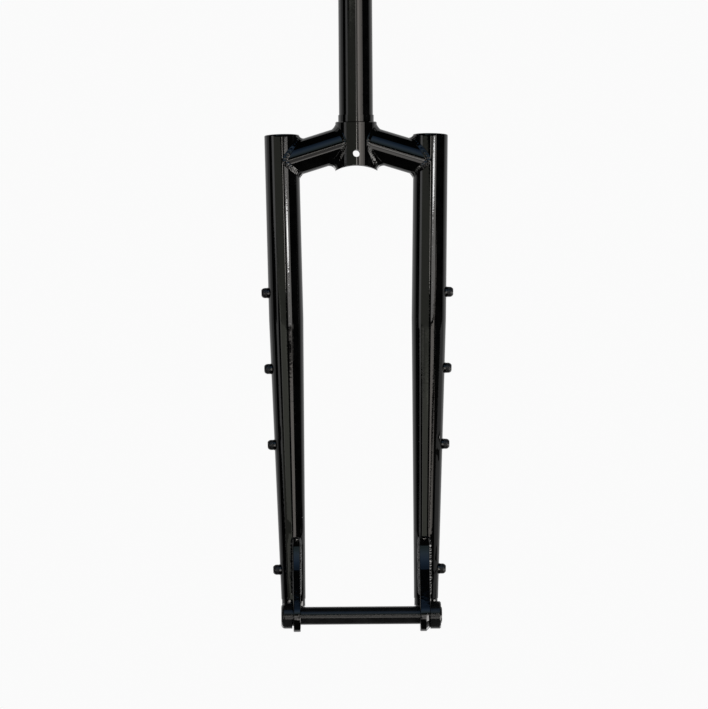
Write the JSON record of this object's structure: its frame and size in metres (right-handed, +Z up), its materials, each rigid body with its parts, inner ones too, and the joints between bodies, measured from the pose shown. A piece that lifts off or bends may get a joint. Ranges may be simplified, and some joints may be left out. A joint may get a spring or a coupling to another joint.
{
  "type": "bicycle fork",
  "caption": "Rigid bicycle fork of welded steel tubes with a straight steerer, sloping crown arms, tapered legs with cage bosses, plate dropouts and a thru-axle.",
  "frame": {"origin": "on the steerer's axis at the shoulder of the crown sleeve, the foot of the crown race seat", "axes": "+Z up along the steerer, -Y forward, +X to the rider's left"},
  "size_m": [0.1614, 0.0783, 0.6778],
  "materials": {
    "gloss_paint": "gloss black paint",
    "weld_paint": "gloss black paint over weld beads",
    "black_anodised": "gloss black anodised",
    "black_bolts": "satin black"
  },
  "bodies": {
    "root": {"steerer_tube": "gloss_paint", "crown_sleeve": "gloss_paint", "left_crown_arm": "gloss_paint", "right_crown_arm": "gloss_paint", "left_leg": "gloss_paint", "right_leg": "gloss_paint", "left_leg_cap": "gloss_paint", "right_leg_cap": "gloss_paint", "left_leg_tip": "gloss_paint", "right_leg_tip": "gloss_paint", "left_dropout": "gloss_paint", "right_dropout": "gloss_paint", "brake_tab": "gloss_paint", "left_boss_1": "gloss_paint", "left_boss_2": "gloss_paint", "left_boss_3": "gloss_paint", "left_boss_4": "gloss_paint", "right_boss_1": "gloss_paint", "right_boss_2": "gloss_paint", "right_boss_3": "gloss_paint", "right_boss_4": "gloss_paint", "left_sleeve_weld": "weld_paint", "right_sleeve_weld": "weld_paint", "left_arm_weld": "weld_paint", "right_arm_weld": "weld_paint", "left_dropout_weld": "weld_paint", "right_dropout_weld": "weld_paint", "brake_tab_weld": "weld_paint", "thru_axle": "black_anodised", "axle_nut": "black_anodised", "boss_bolts": "black_bolts"}
  },
  "joints": []
}
